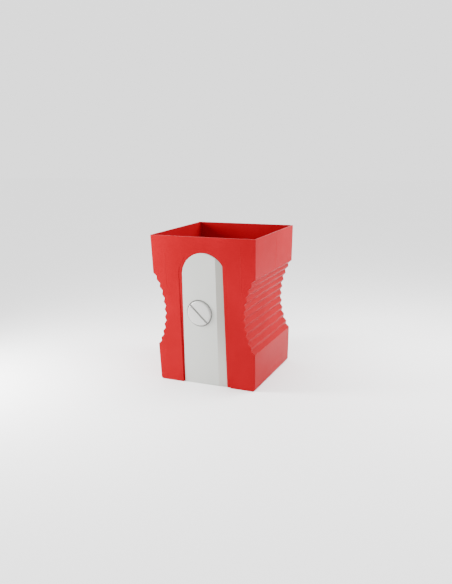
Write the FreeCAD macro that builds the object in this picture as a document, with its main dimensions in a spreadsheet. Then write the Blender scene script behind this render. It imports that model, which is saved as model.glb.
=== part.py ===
"""Waste bin in the shape of a pencil sharpener.

Three pieces: a one-piece moulded bin with a ribbed waist, a blade panel that snaps into the
front wall, and a big slotted screw head that snaps through the panel and the wall behind it.
The origin is at the centre of the underside, +Z is up and the blade panel faces -Y.
"""
import FreeCAD
import Part
import Sketcher
import math
import os

V = FreeCAD.Vector
doc = FreeCAD.newDocument("sharpener_bin")

# Driving dimensions, in millimetres and degrees.
SIZES = {
    # the whole block, which widens a little from the base to the rim
    "height": 300.0,
    "rim_width": 221.5,
    "rim_depth": 221.5,
    "base_width": 207.5,
    "base_depth": 202.5,
    "wall": 2.4,
    "floor_thick": 2.6,
    "bottom_radius": 5.5,
    "corner_radius": 1.4,
    "underside_recess": 2.0,
    "underside_rim": 16.0,
    "underside_corner": 9.0,
    # the ribbed waist on both sides
    "waist_low": 76.0,
    "waist_high": 224.5,
    "waist_sagitta": 20.0,
    "rib_depth": 4.0,
    "rib_wall": 3.2,
    "rib_round": 1.3,
    # the shallow sloping recess in the front wall that the panel lies in
    "recess_width": 104.0,
    "recess_depth": 3.0,
    "recess_top": 276.0,
    # the blade panel: its left edge runs up to touch the arch, its right edge meets the arch
    # at a shoulder
    "panel_left": 49.3,
    "panel_right": 43.3,
    "shoulder_angle": 30.0,
    "arch_radius": 45.9,
    "arch_side": 2.1,
    "arch_centre": 223.5,
    "panel_proud": 0.6,
    "panel_sunk": 3.0,
    "panel_gap": 0.6,
    "panel_edge": 0.8,
    "panel_foot_gap": 0.5,
    "seat_gap": 0.1,
    "bevel_foot": 26.0,
    "bevel_top": 23.9,
    "bevel_slope": 8.0,
    # snap hooks on the back of the panel
    "hook_left": 36.0,
    "hook_right": 28.0,
    "hook_low": 45.0,
    "hook_high": 205.0,
    "hook_width": 8.0,
    "hook_thick": 1.8,
    "hook_barb": 1.1,
    "hook_head": 2.6,
    "hook_gap": 0.3,
    # the screw head
    "screw_side": -9.6,
    "screw_level": 149.2,
    "head_radius": 25.0,
    "head_gap": 1.9,
    "head_bore": 1.8,
    "head_height": 6.1,
    "head_dome": 0.7,
    "head_edge": 3.0,
    "slot_width": 4.2,
    "slot_depth": 3.0,
    "slot_angle": 45.0,
    "shaft_radius": 6.0,
    "shaft_gap": 0.3,
    "shaft_barb": 0.9,
    "shaft_head": 3.2,
    "shaft_split": 2.4,
}
RIB_COUNT = 10         # grooves between the lower and the upper block
OVERSHOOT = "8"        # how far a cutting form reaches past the face that it cuts
LATCH_PLAY = "0.1"     # room between a barb and the wall that it holds

sheet = doc.addObject("Spreadsheet::Sheet", "Sizes")
for row, (alias, value) in enumerate(SIZES.items(), start=1):
    sheet.set("A%d" % row, alias)
    sheet.set("B%d" % row, str(value))
    sheet.setAlias("B%d" % row, alias)
doc.recompute()

# Expressions that several pieces share.
SIDE_LEAN = "((Sizes.rim_width - Sizes.base_width) / 2 / Sizes.height)"
LEAN_ANGLE = "atan(%s)" % SIDE_LEAN
FACE_LEAN = "((Sizes.rim_depth - Sizes.base_depth) / 2 / Sizes.height)"
FLOOR_TOP = "(Sizes.floor_thick + Sizes.underside_recess)"
CHORD = "(Sizes.waist_high - Sizes.waist_low)"
ARC_RADIUS = "((%s ^ 2 / 4 + Sizes.waist_sagitta ^ 2) / (2 * Sizes.waist_sagitta))" % CHORD
ARC_HALF = "asin(%s / 2 / %s)" % (CHORD, ARC_RADIUS)
SEAT_ANGLE = "atan(%s + Sizes.recess_depth / Sizes.recess_top)" % FACE_LEAN
SEAT_FOOT = "(Sizes.recess_depth - Sizes.base_depth / 2)"
LEFT_TAPER = "((Sizes.panel_left + Sizes.arch_side - Sizes.arch_radius) / Sizes.arch_centre)"
SHOULDER = "(Sizes.arch_side + Sizes.arch_radius * cos(Sizes.shoulder_angle * 1 deg))"
RIGHT_TAPER = "((Sizes.panel_right - %s) / Sizes.arch_centre)" % SHOULDER
SEAT_BACK = "(Sizes.panel_sunk + Sizes.seat_gap)"
WALL_BACK = "(%s + Sizes.wall)" % SEAT_BACK
BORE_LEVEL = "(Sizes.head_bore - Sizes.panel_proud)"


def value_of(expression):
    """The present value of an expression in the sheet's sizes."""
    result = sheet.evalExpression(expression.replace("Sizes.", ""))
    return float(getattr(result, "Value", result))


def bind(thing, expressions):
    """Set several expressions on one object."""
    for path, expression in expressions.items():
        thing.setExpression(path, expression)


def new_body(label):
    """A PartDesign body with its own label."""
    body = doc.addObject("PartDesign::Body", label)
    body.Label = label
    return body


def seat_body(label):
    """A body whose XZ plane is the sloping floor of the recess in the front wall."""
    body = new_body(label)
    body.Placement = FreeCAD.Placement(V(0, 0, 0), FreeCAD.Rotation(V(1, 0, 0), 1))
    bind(body, {"Placement.Base.y": SEAT_FOOT, "Placement.Rotation.Angle": SEAT_ANGLE})
    return body


def origin_plane(body, role):
    """One of the body's own origin planes."""
    return [item for item in body.Origin.OriginFeatures if item.Role == role][0]


def new_sketch(body, role, label):
    """A sketch on one of the body's own origin planes."""
    sketch = body.newObject("Sketcher::SketchObject", label)
    sketch.AttachmentSupport = [(origin_plane(body, role), "")]
    sketch.MapMode = "FlatFace"
    return sketch


def place_point(sketch, geometry, end, across, along):
    """Hold a point at its distances from the sketch's origin; None leaves one free."""
    for kind, expression in (("DistanceX", across), ("DistanceY", along)):
        if expression is None:
            continue
        rule = Sketcher.Constraint(kind, -1, 1, geometry, end, value_of(expression))
        number = sketch.addConstraint(rule)
        sketch.setExpression("Constraints[%d]" % number, expression)


def outline(sketch, points, arcs=None):
    """A closed outline through points; arcs gives the centre of each side that is an arc."""
    arcs = arcs or {}
    corners = [V(value_of(across), value_of(along), 0) for across, along in points]
    total = len(corners)
    for side, corner in enumerate(corners):
        after = corners[(side + 1) % total]
        if side in arcs:
            centre = V(value_of(arcs[side][0]), value_of(arcs[side][1]), 0)
            ring = Part.Circle(centre, V(0, 0, 1), (corner - centre).Length)
            start = math.atan2(corner.y - centre.y, corner.x - centre.x)
            finish = math.atan2(after.y - centre.y, after.x - centre.x)
            sketch.addGeometry(Part.ArcOfCircle(ring, start, finish), False)
        else:
            sketch.addGeometry(Part.LineSegment(corner, after), False)
    for side, (across, along) in enumerate(points):
        sketch.addConstraint(Sketcher.Constraint("Coincident", side, 2, (side + 1) % total, 1))
        place_point(sketch, side, 1, across, along)
    for side, centre in arcs.items():
        place_point(sketch, side, 3, None, centre[1])


def rectangle(sketch, half_width, half_height, centre=("0", "0")):
    """A rectangle about a centre."""
    left = "%s - %s" % (centre[0], half_width)
    right = "%s + %s" % (centre[0], half_width)
    low = "%s - %s" % (centre[1], half_height)
    high = "%s + %s" % (centre[1], half_height)
    outline(sketch, [(left, low), (right, low), (right, high), (left, high)])


def arch(sketch, radius, feet, shoulder, level, side="0"):
    """An arch-topped outline that stands on two feet at a level.

    The left edge runs up to touch the arch. The right edge runs up to the arch's own outline
    at the shoulder, which is a distance to the right. The arch's centre is to one side.
    """
    left, right = feet
    reach = "(%s + %s)" % (left, side)
    rise = "(Sizes.arch_centre - (%s))" % level
    lean = "(acos(%s / sqrt(%s ^ 2 + %s ^ 2)) - atan(%s / %s))" % (
        radius, reach, rise, rise, reach)
    touch = ("(%s - %s * cos(%s))" % (side, radius, lean),
             "(Sizes.arch_centre + %s * sin(%s))" % (radius, lean))
    height = "sqrt(%s ^ 2 - (%s - %s) ^ 2)" % (radius, shoulder, side)
    turn = (shoulder, "(Sizes.arch_centre + %s)" % height)
    points = [("-" + left, level), (right, level), turn, touch]
    outline(sketch, points, {2: (side, "Sizes.arch_centre")})


def panel_arch(sketch, grow, level, drop="0"):
    """The blade panel's outline, grown all round, standing at a level below or above its foot."""
    left = "(Sizes.panel_left + %s + %s * %s)" % (grow, LEFT_TAPER, drop)
    right = "(Sizes.panel_right + %s + %s * %s)" % (grow, RIGHT_TAPER, drop)
    arch(sketch, "(Sizes.arch_radius + %s)" % grow, (left, right),
         "(%s + %s)" % (SHOULDER, grow), level, "Sizes.arch_side")


def recess_arch(sketch, grow):
    """The recess's outline, grown all round and open below."""
    half = "(Sizes.recess_width / 2 + %s)" % grow
    arch(sketch, half, (half, half), half, "-" + OVERSHOOT)


def circle(sketch, radius, centre):
    """A circle whose centre and radius are expressions."""
    middle = V(value_of(centre[0]), value_of(centre[1]), 0)
    ring = sketch.addGeometry(Part.Circle(middle, V(0, 0, 1), value_of(radius)), False)
    place_point(sketch, ring, 3, centre[0], centre[1])
    number = sketch.addConstraint(Sketcher.Constraint("Radius", ring, value_of(radius)))
    sketch.setExpression("Constraints[%d]" % number, radius)


def extrude(body, kind, sketch, label, length, side="One side", reverse=False):
    """A Pad or a Pocket of a sketch."""
    feature = body.newObject("PartDesign::" + kind, label)
    feature.Profile = sketch
    feature.SideType = side
    feature.Reversed = reverse
    feature.setExpression("Length", length)
    return feature


def pad_both_ways(body, sketch, label, outward, inward):
    """A pad of an XZ sketch that reaches outward to -Y and inward to +Y."""
    feature = extrude(body, "Pad", sketch, label, outward, "Two sides")
    feature.setExpression("Length2", inward)
    return feature


def fillet(body, base, label, radius, wanted):
    """Round the edges of a feature that a test picks out."""
    doc.recompute()
    names = ["Edge%d" % number for number, edge in enumerate(base.Shape.Edges, start=1)
             if wanted(edge)]
    feature = body.newObject("PartDesign::Fillet", label)
    feature.Base = (base, names)
    feature.setExpression("Radius", radius)
    return feature


def runs_along_y(edge):
    """True for an edge that runs from front to back."""
    span = edge.BoundBox
    return span.XLength < 0.01 and span.ZLength < 0.01


def combine(kind, label, **links):
    """A Part boolean."""
    feature = doc.addObject("Part::" + kind, label)
    feature.Label = label
    feature.Refine = True
    for name, target in links.items():
        setattr(feature, name, target)
    return feature


def half_width(level, inset):
    """Half the block's width at a level, less an inset."""
    return "(Sizes.base_width / 2 + %s * %s - %s)" % (SIDE_LEAN, level, inset)


def half_depth(level, inset):
    """Half the block's depth at a level, less an inset."""
    return "(Sizes.base_depth / 2 + %s * %s - %s)" % (FACE_LEAN, level, inset)


def rib_points(inset, end_inset):
    """Crests and grooves of the right side's ribs, from the lower block to the upper.

    The crests lie on one arc. Each groove is a half step further round it and is cut
    sideways by the rib depth.
    """
    points = []
    for step in range(2 * RIB_COUNT + 1):
        turn = "(%s * %s)" % (ARC_HALF, step / RIB_COUNT - 1)
        level = "((Sizes.waist_low + Sizes.waist_high) / 2 + %s * sin(%s))" % (ARC_RADIUS, turn)
        hollow = "%s * (cos(%s) - cos(%s))" % (ARC_RADIUS, turn, ARC_HALF)
        is_groove = step % 2 == 1
        is_end = step in (0, 2 * RIB_COUNT)
        groove = "Sizes.rib_depth" if is_groove else "0"
        shift = end_inset if is_end else inset
        points.append(("%s - %s - %s" % (half_width(level, shift), hollow, groove), level))
    return points


def waisted_block(label, inset, rib_inset, low, high):
    """The block with its ribbed waist, set in from the outer faces."""
    body = new_body(label)
    block = body.newObject("PartDesign::AdditiveWedge", label + "_block")
    block.AttachmentSupport = [(origin_plane(body, "XY_Plane"), "")]
    block.MapMode = "FlatFace"
    block.AttachmentOffset = FreeCAD.Placement(V(0, 0, 0), FreeCAD.Rotation(V(1, 0, 0), 90))
    bind(block, {
        "Ymin": low,
        "Ymax": high,
        "Xmin": "-" + half_width(low, inset),
        "Xmax": half_width(low, inset),
        "Zmin": "-" + half_depth(low, inset),
        "Zmax": half_depth(low, inset),
        "X2min": "-" + half_width(high, inset),
        "X2max": half_width(high, inset),
        "Z2min": "-" + half_depth(high, inset),
        "Z2max": half_depth(high, inset),
    })
    fillet(body, block, label + "_corners", "Sizes.corner_radius",
           lambda edge: edge.BoundBox.ZLength > value_of("Sizes.height") / 2)

    outer = "Sizes.rim_width"
    bottom = new_sketch(body, "XZ_Plane", label + "_bottom_outline")
    radius = "(Sizes.bottom_radius - %s)" % inset
    middle = "(%s + %s)" % (low, radius)
    centre = "(%s - %s / cos(%s))" % (half_width(middle, inset), radius, LEAN_ANGLE)
    side = "(%s + %s * cos(%s))" % (centre, radius, LEAN_ANGLE)
    top = "(%s - %s * sin(%s))" % (middle, radius, LEAN_ANGLE)
    below = "(%s - %s)" % (low, OVERSHOOT)
    outline(bottom, [(centre, low), (side, top), (outer, top), (outer, below), (centre, below)],
            {0: (centre, middle)})
    rounding = extrude(body, "Pocket", bottom, label + "_right_bottom", "2 * Sizes.rim_depth",
                       "Symmetric")

    ribs = new_sketch(body, "XZ_Plane", label + "_rib_outline")
    points = rib_points(rib_inset, inset)
    outline(ribs, points + [(outer, points[-1][1]), (outer, points[0][1])])
    waist = extrude(body, "Pocket", ribs, label + "_right_waist", "2 * Sizes.rim_depth",
                    "Symmetric")
    left = body.newObject("PartDesign::Mirrored", label + "_left_side")
    left.Originals = [rounding, waist]
    left.MirrorPlane = (origin_plane(body, "YZ_Plane"), [""])
    body.Tip = left

    band = (value_of("Sizes.waist_low") + 1, value_of("Sizes.waist_high") - 1)
    body.Tip = fillet(body, left, label + "_rib_rounding", "Sizes.rib_round",
                      lambda edge: runs_along_y(edge) and band[0] < edge.CenterOfMass.z < band[1])
    return body


def hook_places():
    """Where the panel's four snap hooks are, as pairs of expressions."""
    sides = ("-Sizes.hook_left", "Sizes.hook_right")
    return [(side, level) for side in sides for level in ("Sizes.hook_low", "Sizes.hook_high")]


def make_recess():
    """The sloping recess, open towards the front."""
    body = seat_body("recess_form")
    sketch = new_sketch(body, "XZ_Plane", "recess_outline")
    recess_arch(sketch, "0")
    extrude(body, "Pad", sketch, "recess_pad", OVERSHOOT)
    return body


def make_seat():
    """What stays solid behind the recess, so that the wall keeps its thickness."""
    body = seat_body("seat_form")
    sketch = new_sketch(body, "XZ_Plane", "seat_outline")
    recess_arch(sketch, "Sizes.wall")
    pad_both_ways(body, sketch, "seat_pad", OVERSHOOT, WALL_BACK)
    return body


def make_pocket():
    """The panel's pocket, the hook slots and the hole for the screw head's shaft."""
    body = seat_body("pocket_form")
    sketch = new_sketch(body, "XZ_Plane", "pocket_outline")
    panel_arch(sketch, "Sizes.panel_gap", "-" + OVERSHOOT, OVERSHOOT)
    pad_both_ways(body, sketch, "pocket_pad", OVERSHOOT, SEAT_BACK)
    through = "%s + %s" % (WALL_BACK, OVERSHOOT)
    for number, (side, level) in enumerate(hook_places(), start=1):
        slot = new_sketch(body, "XZ_Plane", "hook_slot_%d" % number)
        middle = "%s - Sizes.hook_barb / 2" % level
        rectangle(slot, "(Sizes.hook_width / 2 + Sizes.hook_gap)",
                  "(Sizes.hook_thick / 2 + Sizes.hook_gap + Sizes.hook_barb / 2)", (side, middle))
        extrude(body, "Pad", slot, "hook_slot_pad_%d" % number, through, reverse=True)
    hole = new_sketch(body, "XZ_Plane", "shaft_hole")
    circle(hole, "Sizes.shaft_radius + Sizes.shaft_gap", ("Sizes.screw_side", "Sizes.screw_level"))
    extrude(body, "Pad", hole, "shaft_hole_pad", through, reverse=True)
    return body


def make_underside():
    """The shallow hollow that leaves a standing rim round the underside."""
    body = new_body("underside_form")
    sketch = new_sketch(body, "XY_Plane", "underside_outline")
    rectangle(sketch, "(Sizes.base_width / 2 - Sizes.underside_rim)",
              "(Sizes.base_depth / 2 - Sizes.underside_rim)")
    block = extrude(body, "Pad", sketch, "underside_pad", "Sizes.underside_recess")
    body.Tip = fillet(body, block, "underside_corners", "Sizes.underside_corner",
                      lambda edge: edge.BoundBox.ZLength > 0.5)
    return body


def make_bin():
    """The moulded bin: the outer form, less its inside and less what the panel needs."""
    outer = waisted_block("outer_form", "0", "0", "0", "Sizes.height")
    inner = waisted_block("inner_form", "Sizes.wall", "Sizes.rib_wall", FLOOR_TOP,
                          "(Sizes.height + %s)" % OVERSHOOT)
    inside = combine("Cut", "inside_form", Base=inner, Tool=make_seat())
    hollows = combine("MultiFuse", "hollow_form",
                      Shapes=[inside, make_recess(), make_pocket(), make_underside()])
    return combine("Cut", "bin_body", Base=outer, Tool=hollows)


def make_panel():
    """The blade panel with its bevel, its round sinking for the screw head and its hooks."""
    body = seat_body("blade_panel")
    sketch = new_sketch(body, "XZ_Plane", "panel_outline")
    panel_arch(sketch, "0", "Sizes.panel_foot_gap")
    plate = pad_both_ways(body, sketch, "panel_pad", "Sizes.panel_proud", "Sizes.panel_sunk")
    front = value_of("-Sizes.panel_proud") + 0.01
    above = value_of("Sizes.panel_foot_gap") + 0.01
    fillet(body, plate, "panel_rim", "Sizes.panel_edge",
           lambda edge: edge.BoundBox.YMax < front and edge.BoundBox.ZMax > above)

    # The bevel is a wedge along a line that leans in with the panel's own taper.
    wedge = new_sketch(body, "XY_Plane", "bevel_wedge")
    top = "(Sizes.arch_centre + Sizes.arch_radius)"
    wedge.AttachmentOffset = FreeCAD.Placement(V(0, 0, 0), FreeCAD.Rotation(V(0, 1, 0), -1))
    bind(wedge, {
        "AttachmentOffset.Base.x": "Sizes.bevel_foot",
        "AttachmentOffset.Rotation.Angle": "atan((Sizes.bevel_foot - Sizes.bevel_top) / %s)" % top,
    })
    reach = "Sizes.panel_right"
    face = "-Sizes.panel_proud"
    drop = "%s + %s * tan(Sizes.bevel_slope * 1 deg)" % (face, reach)
    outline(wedge, [("0", face), (reach, face + " - 1"), (reach, drop)])
    extrude(body, "Pocket", wedge, "bevel", "2 * " + top, "Symmetric")

    centre = ("Sizes.screw_side", "Sizes.screw_level")
    sinking = new_sketch(body, "XZ_Plane", "sinking_outline")
    sinking.setExpression("AttachmentOffset.Base.z", "Sizes.panel_proud")
    circle(sinking, "Sizes.head_radius + Sizes.head_gap", centre)
    extrude(body, "Pocket", sinking, "sinking", "Sizes.head_bore")
    hole = new_sketch(body, "XZ_Plane", "panel_hole_outline")
    circle(hole, "Sizes.shaft_radius + Sizes.shaft_gap", centre)
    body.Tip = extrude(body, "Pocket", hole, "panel_hole", "2 * " + SEAT_BACK, "Symmetric")

    catch = "(%s + %s)" % (WALL_BACK, LATCH_PLAY)
    tip = "(%s + Sizes.hook_head)" % WALL_BACK
    for number, (side, level) in enumerate(hook_places(), start=1):
        hook = new_sketch(body, "YZ_Plane", "hook_outline_%d" % number)
        hook.setExpression("AttachmentOffset.Base.z", side)
        low = "%s - Sizes.hook_thick / 2" % level
        high = "%s + Sizes.hook_thick / 2" % level
        outline(hook, [
            ("Sizes.panel_sunk", low),
            (tip, low),
            (tip, high),
            (catch, high + " + Sizes.hook_barb"),
            (catch, high),
            ("Sizes.panel_sunk", high),
        ])
        extrude(body, "Pad", hook, "hook_%d" % number, "Sizes.hook_width", "Symmetric")
    return body


def make_screw():
    """The slotted screw head with its split snap shaft."""
    body = new_body("screw_head")
    body.Placement = FreeCAD.Placement(V(0, 0, 0), FreeCAD.Rotation(V(1, 0, 0), 1))
    bind(body, {
        "Placement.Base.x": "Sizes.screw_side",
        "Placement.Base.y": "%s - Sizes.screw_level * sin(%s) + %s * cos(%s)"
                            % (SEAT_FOOT, SEAT_ANGLE, BORE_LEVEL, SEAT_ANGLE),
        "Placement.Base.z": "Sizes.screw_level * cos(%s) + %s * sin(%s)"
                            % (SEAT_ANGLE, BORE_LEVEL, SEAT_ANGLE),
        "Placement.Rotation.Angle": SEAT_ANGLE,
    })
    radius = "Sizes.head_radius"
    crown = "(Sizes.head_height + Sizes.head_dome)"
    ball = "((%s ^ 2 + Sizes.head_dome ^ 2) / (2 * Sizes.head_dome))" % radius
    catch = "(%s - %s + %s)" % (WALL_BACK, BORE_LEVEL, LATCH_PLAY)
    tip = "(%s + Sizes.shaft_head)" % catch
    barb = "(Sizes.shaft_radius + Sizes.shaft_barb)"
    sketch = new_sketch(body, "XY_Plane", "head_outline")
    outline(sketch, [
        ("0", "-" + crown),
        (radius, "-Sizes.head_height"),
        (radius, "0"),
        ("Sizes.shaft_radius", "0"),
        ("Sizes.shaft_radius", catch),
        (barb, catch),
        (barb, catch + " + Sizes.shaft_head / 4"),
        ("Sizes.shaft_radius - Sizes.shaft_barb", tip),
        ("0", tip),
    ], {0: ("0", "%s - %s" % (ball, crown))})
    turned = body.newObject("PartDesign::Revolution", "head_turned")
    turned.Profile = sketch
    turned.ReferenceAxis = (sketch, ["V_Axis"])
    turned.Angle = 360

    rim_level = value_of("-Sizes.head_height")
    fillet(body, turned, "head_rim", "Sizes.head_edge",
           lambda edge: abs(edge.CenterOfMass.y - rim_level) < 0.01)
    slot = new_sketch(body, "XZ_Plane", "slot_outline")
    slot.AttachmentOffset = FreeCAD.Placement(V(0, 0, 0), FreeCAD.Rotation(V(0, 0, -1), 1))
    bind(slot, {
        "AttachmentOffset.Base.z": crown,
        "AttachmentOffset.Rotation.Angle": "Sizes.slot_angle",
    })
    rectangle(slot, "2 * " + radius, "Sizes.slot_width / 2")
    extrude(body, "Pocket", slot, "slot", "Sizes.slot_depth")
    split = new_sketch(body, "XZ_Plane", "split_outline")
    split.setExpression("AttachmentOffset.Base.z", "-" + tip)
    rectangle(split, "Sizes.shaft_split / 2", "2 * Sizes.shaft_radius")
    body.Tip = extrude(body, "Pocket", split, "split", "%s - Sizes.wall / 2" % tip, reverse=True)
    return body


def check_document():
    """Stop if any object of the document failed."""
    for item in doc.Objects:
        if "Invalid" in item.State or "Error" in item.State:
            raise RuntimeError("%s failed: %s" % (item.Label, item.State))


def main():
    """Build the pieces, check them and write one STEP file for each."""
    pieces = [make_bin(), make_panel(), make_screw()]
    doc.recompute()
    check_document()
    for piece in pieces:
        if piece.Shape.isNull() or not piece.Shape.isValid():
            raise RuntimeError("%s has no valid shape" % piece.Label)
    os.makedirs("parts", exist_ok=True)
    for piece in pieces:
        piece.Shape.exportStep("parts/%s.step" % piece.Label)
        print(piece.Label, len(piece.Shape.Solids), "solid", round(piece.Shape.Volume), "mm3")


main()
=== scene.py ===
"""The looks of the sharpener-shaped waste bin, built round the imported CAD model."""
import math

import bmesh
import bpy
from mathutils import Euler, Matrix, Vector


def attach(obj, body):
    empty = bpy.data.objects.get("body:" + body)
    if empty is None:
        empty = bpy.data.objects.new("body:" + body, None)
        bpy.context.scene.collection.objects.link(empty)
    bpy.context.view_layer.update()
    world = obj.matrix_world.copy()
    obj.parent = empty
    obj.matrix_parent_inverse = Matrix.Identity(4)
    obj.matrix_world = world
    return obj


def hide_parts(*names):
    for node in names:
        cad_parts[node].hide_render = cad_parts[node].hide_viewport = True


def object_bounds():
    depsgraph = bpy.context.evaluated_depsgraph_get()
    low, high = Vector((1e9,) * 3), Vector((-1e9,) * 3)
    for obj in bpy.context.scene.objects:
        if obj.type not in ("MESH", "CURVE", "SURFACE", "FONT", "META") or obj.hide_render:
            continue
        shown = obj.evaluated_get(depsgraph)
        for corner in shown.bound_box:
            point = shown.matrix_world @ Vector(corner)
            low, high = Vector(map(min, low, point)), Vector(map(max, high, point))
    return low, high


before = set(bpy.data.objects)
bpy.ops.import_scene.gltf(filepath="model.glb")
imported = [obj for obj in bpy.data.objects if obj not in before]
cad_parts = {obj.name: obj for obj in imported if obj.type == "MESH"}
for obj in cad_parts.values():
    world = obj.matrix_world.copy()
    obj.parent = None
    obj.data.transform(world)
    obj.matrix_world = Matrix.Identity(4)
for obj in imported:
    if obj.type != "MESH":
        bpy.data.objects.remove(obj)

MM = 0.001
CAD_LOW, CAD_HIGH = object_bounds()

# The block and the screw head's seat and slot, at the sizes that part.py gives them.
HEIGHT = CAD_HIGH.z
RIM_HALF = CAD_HIGH.x            # the rim is square
BASE_HALF_WIDTH = 103.75 * MM
BASE_HALF_DEPTH = 101.25 * MM
WAIST_TOP = 224.5 * MM
SCREW_SIDE = -9.6 * MM
SCREW_LEVEL = 149.2 * MM
SEAT_RADIUS = 26.9 * MM
SLOT_REACH = 4.2 * MM / math.sqrt(2)     # half the slot's width, measured level across it

# How the pieces' edges are finished.
BIN_ROUNDING = 0.45 * MM
FITTING_ROUNDING = 0.3 * MM          # the panel and the screw head
ROUNDING_STEPS = 3
LEAST_ROUNDED = math.radians(24)     # an edge that turns less than this isn't rounded
SMOOTH_JOIN = math.radians(0.5)      # a wide face shades smoothly only across less than this
FLATTEN = math.radians(0.3)          # facets that turn less than this are one face
WELD = 0.002 * MM                    # vertices nearer than this are one vertex
FLAT_WIDTH = 3 * MM                  # a face wider than this is flat, not part of a rounding

# The mould's witness lines, which run up the walls below the rim.
LINE_SIDE = 80 * MM              # from the middle of the front and of the back
LINE_DEPTH = 5 * MM              # behind the middle of each side
LINE_LOW = 185 * MM
LINE_HIGH = 288 * MM
LINE_END = 3 * MM
LINE_WIDTH = 1.2 * MM
LINE_HEIGHT = 0.22 * MM
LINE_STEPS = 8
LINE_TIP_WIDTH = 0.3             # the width at its ends, as a share of the full width
LINE_CREST_WIDTH = 0.4           # the crest's width, as a share of the foot's

# Base colours as linear RGBA. Pale is for specks and for worn edges, which also carry a painted
# edge highlight; dark for the slow drift.
RED = (0.285, 0.0012, 0.0070, 1)
RED_PALE = (0.62, 0.03, 0.03, 1)
RED_DARK = (0.245, 0.0010, 0.0052, 1)
GREY = (0.425, 0.43, 0.405, 1)
GREY_PALE = (0.64, 0.64, 0.62, 1)
GREY_DARK = (0.395, 0.405, 0.38, 1)
# Painted shade for the blade panel's bevel facet, which faces away from the key lamp: lighter at
# its foot, darker at its top.
BEVEL_SHADE_FOOT = (0.41, 0.395, 0.365, 1)
BEVEL_SHADE_TOP = (0.255, 0.247, 0.222, 1)
# Painted shade for the dark ring in the screw head's seat.
SEAT_SHADE_TONE = (0.15, 0.145, 0.135, 1)
SILVER = (0.44, 0.44, 0.425, 1)
SILVER_PALE = (0.90, 0.90, 0.88, 1)
SILVER_DARK = (0.40, 0.405, 0.39, 1)
# Painted shade in the screw's slot.
SLOT_SHADE_TONE = (0.20, 0.195, 0.185, 1)
FLOOR_TONES = ((0.90, 0.90, 0.90, 1), (0.92, 0.92, 0.92, 1))

SCRATCH_TURNS = ((0.3, 0.5, 0.9), (-0.6, 0.4, 0.7), (0.8, -0.3, 0.2))
# How far from an edge the paling reaches: wear, and also a painted edge highlight.
WORN_AND_LIT_EDGE = 0.9 * MM
# Painted shade: between these levels the bevel's tone runs from its foot tone to its top tone.
BEVEL_SHADE_BLEND = (0.0, 0.16)        # the levels in metres between which the bevel's tone changes

# How bright the surround is in front of the object, behind it and overhead.
FRONT_GLOW = 0.6
BACK_GLOW = 1.9
TOP_GLOW = 2.3

# Each lamp's name, place, target, width, height and power, in metres and watts.
LAMPS = (
    ("key_left", (-0.56, -0.34, 0.36), (-0.03, -0.1, 0.16), 0.20, 0.40, 14),
    ("top_right", (0.75, 0.25, 1.05), (0, 0, HEIGHT / 2), 0.45, 0.45, 11),
    ("right_strip", (0.95, -0.18, 0.12), (0.08, -0.05, 0.10), 0.16, 0.55, 3),
    ("floor_wash", (0.42, 0.30, 0.50), (0.32, 0.24, 0), 0.25, 0.25, 4),
)

# The camera's yaw, pitch and roll in degrees, its target and distance in metres, and its lens
# and sensor in millimetres.
CAMERA_ANGLES = (24.15, 13.25, -1.00)
CAMERA_TARGET = (0.0007, 0, 0.1692)
CAMERA_DISTANCE = 1.301
CAMERA_LENS = 38.34
CAMERA_SENSOR = 36


# ---------------------------------------------------------------- node helpers

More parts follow.
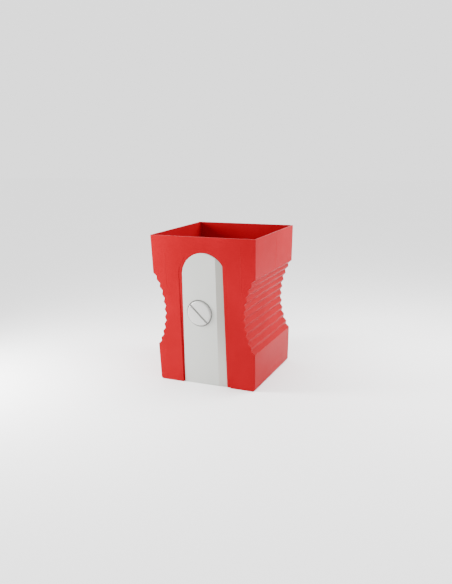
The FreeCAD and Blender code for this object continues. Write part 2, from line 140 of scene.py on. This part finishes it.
class Shader:
    """A node material, with short calls for the nodes that it needs."""

    def __init__(self, name):
        self.material = bpy.data.materials.new(name)
        self.material.use_nodes = True
        self.nodes = self.material.node_tree.nodes
        self.links = self.material.node_tree.links
        self.surface = self.nodes["Principled BSDF"]
        self.place = self.nodes.new("ShaderNodeTexCoord").outputs["Object"]
        self.facing = self.place.node.outputs["Normal"]

    def node(self, kind, inputs=None, **settings):
        """A node with its settings and its inputs, each a value or another node's output."""
        made = self.nodes.new("ShaderNode" + kind)
        for key, value in settings.items():
            setattr(made, key, value)
        for key, value in (inputs or {}).items():
            self.feed(made.inputs[key], value)
        return made

    def feed(self, socket, value):
        """Links an output to a socket, or sets the socket to a plain value."""
        if isinstance(value, bpy.types.NodeSocket):
            self.links.new(value, socket)
        else:
            socket.default_value = value

    def maths(self, operation, first, second=0.0, clamp=False):
        """One sum, product or other simple step."""
        return self.node("Math", {0: first, 1: second}, operation=operation,
                         use_clamp=clamp).outputs[0]

    def noise(self, scale, detail=2.0, roughness=0.5, stretch=(1, 1, 1), distortion=0.0):
        """Noise from 0 to 1, with scale in features per metre."""
        where = self.node("Mapping", {"Vector": self.place, "Scale": stretch}).outputs[0]
        return self.node("TexNoise", {"Vector": where, "Scale": scale, "Detail": detail,
                                      "Roughness": roughness,
                                      "Distortion": distortion}).outputs["Fac"]

    def split(self, vector):
        """The three parts of a vector."""
        return self.node("SeparateXYZ", {0: vector}).outputs

    def ramp(self, value, low, high, out_low=0.0, out_high=1.0):
        """A smooth change between two values."""
        return self.node("MapRange", {"Value": value, "From Min": low, "From Max": high,
                                      "To Min": out_low, "To Max": out_high},
                         interpolation_type="SMOOTHSTEP").outputs[0]

    def mix(self, amount, first, second):
        """A colour between two colours."""
        return self.node("Mix", {"Factor": amount, "A": first, "B": second},
                         data_type="RGBA").outputs[2]

    def edges(self, radius):
        """About 1 along edges and 0 on flats: how far rounding the edges turns the normal."""
        soft = self.node("Bevel", {"Radius": radius}, samples=6).outputs[0]
        hard = self.node("NewGeometry").outputs["Normal"]
        same = self.node("VectorMath", {0: soft, 1: hard}, operation="DOT_PRODUCT").outputs[1]
        return self.ramp(same, 0.995, 0.80)

    def scratches(self, turns):
        """About 1 on sparse hair-fine scratches that run in a few directions, and 0 elsewhere."""
        found = 0.0
        for turn in turns:
            drawn_out = self.node("Mapping", {"Vector": self.place, "Rotation": turn,
                                              "Scale": (1, 1, 0.02)}).outputs[0]
            line = self.node("TexNoise", {"Vector": drawn_out, "Scale": 700,
                                          "Detail": 1.0}).outputs["Fac"]
            turned = self.node("Mapping", {"Vector": self.place, "Rotation": turn}).outputs[0]
            patch = self.node("TexNoise", {"Vector": turned, "Scale": 45,
                                           "Detail": 2.0}).outputs["Fac"]
            mark = self.maths("MULTIPLY", self.ramp(line, 0.70, 0.76), self.ramp(patch, 0.5, 0.62))
            found = self.maths("MAXIMUM", mark, found)
        return found

    def bump(self, height, distance, below=None):
        """A bump of a given depth in metres, on top of another one."""
        inputs = {"Height": height, "Distance": distance, "Strength": 1.0}
        if below is not None:
            inputs["Normal"] = below
        return self.node("Bump", inputs).outputs[0]


def moulded_plastic(name, body, pale, dark, roughness, grain=1.0, index=1.47, wear_and_highlight=0.3,
                    bevel=None, recess_shade=None):
    """Moulded plastic: slight colour drift, fine grain, uneven sheen, scuffed edges that also
    carry a painted edge highlight, and painted shade where it is given.

    grain scales the fine relief, index is the IOR, and the edge amount is how pale the edges turn,
    as wear and as a painted edge highlight.
    The bevel pair gives the two tones of painted shade, at the foot and at the top, of a face that
    slants to the right.
    The recess shade pair gives a painted-shade tone and a function that finds how deep in painted
    shade each place is.
    """
    shader = Shader(name)
    drift = shader.noise(11, 3, stretch=(1, 1, 0.7))
    speck = shader.noise(1100, 2, 0.6)
    tone = shader.mix(shader.ramp(drift, 0.3, 0.7), body, dark)
    # Painted shade: the facet that slants to the right is darkened, darkest at the top and lighter
    # towards the foot.
    if bevel:
        across, _, _ = shader.split(shader.facing)
        _, _, level = shader.split(shader.place)
        slanting = shader.ramp(across, 0.06, 0.12)
        shade = shader.mix(shader.ramp(level, *BEVEL_SHADE_BLEND), *bevel)
        tone = shader.mix(slanting, tone, shade)
    tone = shader.mix(shader.ramp(speck, 0.58, 0.8, 0.0, 0.16), tone, pale)
    # Painted shade in recesses: the screw's seat and its slot.
    if recess_shade:
        shade_tone, how_shaded = recess_shade
        tone = shader.mix(how_shaded(shader), tone, shade_tone)
    # Edges pale as wear and also as a painted edge highlight.
    edge = shader.edges(WORN_AND_LIT_EDGE)
    patchy = shader.maths("MULTIPLY", edge, shader.ramp(shader.noise(70, 3), 0.3, 0.65, 0.35, 1.0))
    worn_and_lit = shader.maths("MULTIPLY", patchy, wear_and_highlight)
    shader.feed(shader.surface.inputs["Base Color"], shader.mix(worn_and_lit, tone, pale))

    scratch = shader.scratches(SCRATCH_TURNS)
    smear = shader.ramp(shader.noise(24, 4, 0.6, distortion=0.8), 0.3, 0.7, -0.025, 0.03)
    sheen = shader.maths("ADD", smear, roughness)
    sheen = shader.maths("ADD", sheen, shader.maths("MULTIPLY", scratch, 0.10))
    shader.feed(shader.surface.inputs["Roughness"],
                shader.maths("ADD", sheen, shader.maths("MULTIPLY", patchy, 0.10), clamp=True))

    wave = shader.bump(shader.noise(13, 2, 0.4), 0.18 * MM)
    peel = shader.bump(shader.noise(520, 2, 0.5), 0.012 * MM * grain, wave)
    fine = shader.bump(shader.noise(2400, 2, 0.6), 0.007 * MM * grain, peel)
    scored = shader.bump(shader.maths("MULTIPLY", scratch, -1.0), 0.012 * MM, fine)
    shader.feed(shader.surface.inputs["Normal"], scored)
    shader.surface.inputs["IOR"].default_value = index
    return shader.material


def screw_place(shader):
    """How far each place is across from the screw's middle, and how far above it."""
    across, _, level = shader.split(shader.place)
    return (shader.maths("SUBTRACT", across, SCREW_SIDE),
            shader.maths("SUBTRACT", level, SCREW_LEVEL))


def seat_painted_shade(shader):
    """Painted shade over the round seat behind the screw head, reaching 1 mm onto the panel round
    it, patchy in strength.
    """
    across, above = screw_place(shader)
    reach = shader.maths("SQRT", shader.maths("ADD", shader.maths("POWER", across, 2.0),
                                              shader.maths("POWER", above, 2.0)))
    patchy = shader.ramp(shader.noise(160, 3), 0.3, 0.7, 0.7, 1.0)
    return shader.maths("MULTIPLY", patchy, shader.ramp(reach, SEAT_RADIUS + 1.0 * MM,
                                                        SEAT_RADIUS - 0.2 * MM))


def slot_painted_shade(shader):
    """Painted shade in the screw's slot, which slopes down to the right at 45 degrees."""
    across, above = screw_place(shader)
    off_line = shader.maths("ABSOLUTE", shader.maths("ADD", across, above))
    return shader.ramp(off_line, SLOT_REACH + 0.3 * MM, SLOT_REACH - 0.3 * MM, 0.0, 0.8)


# ---------------------------------------------------------------- pieces

def is_flat(face):
    """True for a wide face, as against one narrow strip of a rounding."""
    return 2 * face.calc_area() / face.calc_perimeter() > FLAT_WIDTH


def finished_copy(node, material, rounding):
    """A CAD node's shape with its edges rounded, which stands for the node."""
    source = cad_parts[node]
    mesh = bpy.data.meshes.new(node + "_finished")
    shape = bmesh.new()
    shape.from_mesh(source.data)
    bmesh.ops.remove_doubles(shape, verts=shape.verts, dist=WELD)
    bmesh.ops.dissolve_limit(shape, angle_limit=FLATTEN, verts=shape.verts, edges=shape.edges)
    bmesh.ops.recalc_face_normals(shape, faces=shape.faces)
    for face in shape.faces:
        face.smooth = True
    for edge in shape.edges:
        if any(is_flat(face) for face in edge.link_faces):
            edge.smooth = edge.calc_face_angle(0) < SMOOTH_JOIN
    shape.to_mesh(mesh)
    shape.free()
    piece = bpy.data.objects.new(node + "_finished", mesh)
    bpy.context.scene.collection.objects.link(piece)
    edges = piece.modifiers.new("edges", "BEVEL")
    edges.width = rounding
    edges.segments = ROUNDING_STEPS
    edges.limit_method = "ANGLE"
    edges.angle_limit = LEAST_ROUNDED
    edges.harden_normals = True
    edges.use_clamp_overlap = True
    mesh.materials.append(material)
    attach(piece, "root")
    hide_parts(node)


def wall_point(side, depth, level):
    """A point on the block's front face (depth is None) or on its right face (side is None)."""
    rise = level / HEIGHT
    if depth is None:
        return Vector((side, -(BASE_HALF_DEPTH + (RIM_HALF - BASE_HALF_DEPTH) * rise), level))
    return Vector((BASE_HALF_WIDTH + (RIM_HALF - BASE_HALF_WIDTH) * rise, depth, level))


def witness_line(name, foot, head, across, outward, material):
    """A hair-thin raised line that the mould leaves on a wall, fading out at both ends."""
    mesh = bpy.data.meshes.new(name)
    shape = bmesh.new()
    rows = []
    for step in range(LINE_STEPS + 1):
        share = step / LINE_STEPS
        centre = foot.lerp(head, share)
        swell = math.sin(math.pi * share)
        width = LINE_WIDTH * (LINE_TIP_WIDTH + (1 - LINE_TIP_WIDTH) * swell)
        proud = outward * (LINE_HEIGHT * swell ** 0.5)
        sunk = -outward * LINE_HEIGHT
        half = across * (width / 2)
        crest = half * LINE_CREST_WIDTH
        rows.append([shape.verts.new(centre + part) for part in
                     (sunk - half, proud - crest, proud + crest, sunk + half)])
    for low_row, high_row in zip(rows, rows[1:]):
        for number in range(4):
            after = (number + 1) % 4
            shape.faces.new((low_row[number], low_row[after], high_row[after], high_row[number]))
    shape.faces.new(rows[0])
    shape.faces.new(rows[-1])
    bmesh.ops.recalc_face_normals(shape, faces=shape.faces)
    shape.to_mesh(mesh)
    shape.free()
    mesh.materials.append(material)
    line = bpy.data.objects.new(name, mesh)
    bpy.context.scene.collection.objects.link(line)
    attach(line, "root")


def make_witness_lines(material):
    """Two lines on the front and two on the back, and one up the middle of each side."""
    forward = Vector((0, -1, 0))
    sideways = Vector((1, 0, 0))
    to_back = Vector((1, -1, 1))
    for side, hand in ((-1, "left"), (1, "right")):
        foot = wall_point(side * LINE_SIDE, None, LINE_LOW)
        head = wall_point(side * LINE_SIDE, None, LINE_HIGH)
        witness_line("witness_front_" + hand, foot, head, sideways, forward, material)
        witness_line("witness_back_" + hand, foot * to_back, head * to_back, sideways, -forward,
                     material)
        foot = wall_point(None, LINE_DEPTH, WAIST_TOP + LINE_END)
        head = wall_point(None, LINE_DEPTH, LINE_HIGH)
        to_side = Vector((side, 1, 1))
        witness_line("witness_side_" + hand, foot * to_side, head * to_side, -forward,
                     sideways * side, material)


def make_object():
    """Every visible piece with its material."""
    # The red's edges pale as wear and as a painted edge highlight.
    red = moulded_plastic("red_plastic", RED, RED_PALE, RED_DARK, 0.34, index=1.09, wear_and_highlight=0.45)
    # The grey panel gets painted shade on its bevel facet and in the screw's seat.
    grey = moulded_plastic("grey_plastic", GREY, GREY_PALE, GREY_DARK, 0.40, grain=0.7, index=1.4,
                           bevel=(BEVEL_SHADE_FOOT, BEVEL_SHADE_TOP), recess_shade=(SEAT_SHADE_TONE, seat_painted_shade))
    # The screw head gets painted shade in its slot, and its edges pale strongly as wear and as a
    # painted edge highlight.
    silver = moulded_plastic("screw_plastic", SILVER, SILVER_PALE, SILVER_DARK, 0.20, grain=0.6,
                             wear_and_highlight=0.85, recess_shade=(SLOT_SHADE_TONE, slot_painted_shade))
    finished_copy("bin_body", red, BIN_ROUNDING)
    finished_copy("blade_panel", grey, FITTING_ROUNDING)
    finished_copy("screw_head", silver, FITTING_ROUNDING)
    make_witness_lines(red)


# ---------------------------------------------------------------- studio

def area_light(name, place, target, width, height, power):
    """A soft rectangular lamp that faces a target."""
    data = bpy.data.lights.new(name, "AREA")
    data.shape = "RECTANGLE"
    data.size, data.size_y = width, height
    data.energy = power
    lamp = bpy.data.objects.new(name, data)
    lamp.location = place
    lamp.rotation_euler = (Vector(target) - Vector(place)).to_track_quat("-Z", "Y").to_euler()
    bpy.context.scene.collection.objects.link(lamp)


def make_floor():
    """A plain pale floor."""
    bpy.ops.mesh.primitive_plane_add(size=14)
    floor = bpy.context.object
    floor.name = "floor"
    shader = Shader("floor_white")
    shader.feed(shader.surface.inputs["Base Color"],
                shader.mix(shader.noise(3, 2), *FLOOR_TONES))
    shader.surface.inputs["Roughness"].default_value = 0.9
    shader.surface.inputs["Specular IOR Level"].default_value = 0.1
    floor.data.materials.append(shader.material)


def make_surround():
    """A soft white surround, brightest overhead and dimmest in front of the object."""
    world = bpy.data.worlds.new("surround")
    world.use_nodes = True
    nodes, links = world.node_tree.nodes, world.node_tree.links
    parts = nodes.new("ShaderNodeSeparateXYZ")
    links.new(nodes.new("ShaderNodeTexCoord").outputs["Generated"], parts.inputs[0])

    def fade(source, low, high, from_value, to_value):
        """A smooth change of strength with one part of the direction."""
        step = nodes.new("ShaderNodeMapRange")
        step.interpolation_type = "SMOOTHSTEP"
        for number, value in enumerate((source, low, high, from_value, to_value)):
            if isinstance(value, bpy.types.NodeSocket):
                links.new(value, step.inputs[number])
            else:
                step.inputs[number].default_value = value
        return step.outputs[0]

    around = fade(parts.outputs["Y"], -0.6, 0.6, FRONT_GLOW, BACK_GLOW)
    links.new(fade(parts.outputs["Z"], 0.1, 0.85, around, TOP_GLOW),
              nodes["Background"].inputs["Strength"])
    nodes["Background"].inputs["Color"].default_value = (1.0, 1.0, 1.0, 1)
    bpy.context.scene.world = world


def make_studio():
    """The floor, the surround and soft lamps, brightest from the front left."""
    make_floor()
    make_surround()
    for lamp in LAMPS:
        area_light(*lamp)


def make_camera():
    """A view from the front right, a little above."""
    yaw, pitch, roll = (math.radians(angle) for angle in CAMERA_ANGLES)
    back = Vector((math.sin(yaw) * math.cos(pitch), -math.cos(yaw) * math.cos(pitch),
                   math.sin(pitch)))
    data = bpy.data.cameras.new("camera")
    data.lens = CAMERA_LENS
    data.sensor_width = CAMERA_SENSOR
    camera = bpy.data.objects.new("camera", data)
    camera.location = Vector(CAMERA_TARGET) + back * CAMERA_DISTANCE
    turn = Euler((math.pi / 2 - pitch, 0, yaw)).to_matrix() @ Matrix.Rotation(roll, 3, "Z")
    camera.rotation_euler = turn.to_euler()
    bpy.context.scene.collection.objects.link(camera)
    bpy.context.scene.camera = camera


make_object()
make_studio()
make_camera()
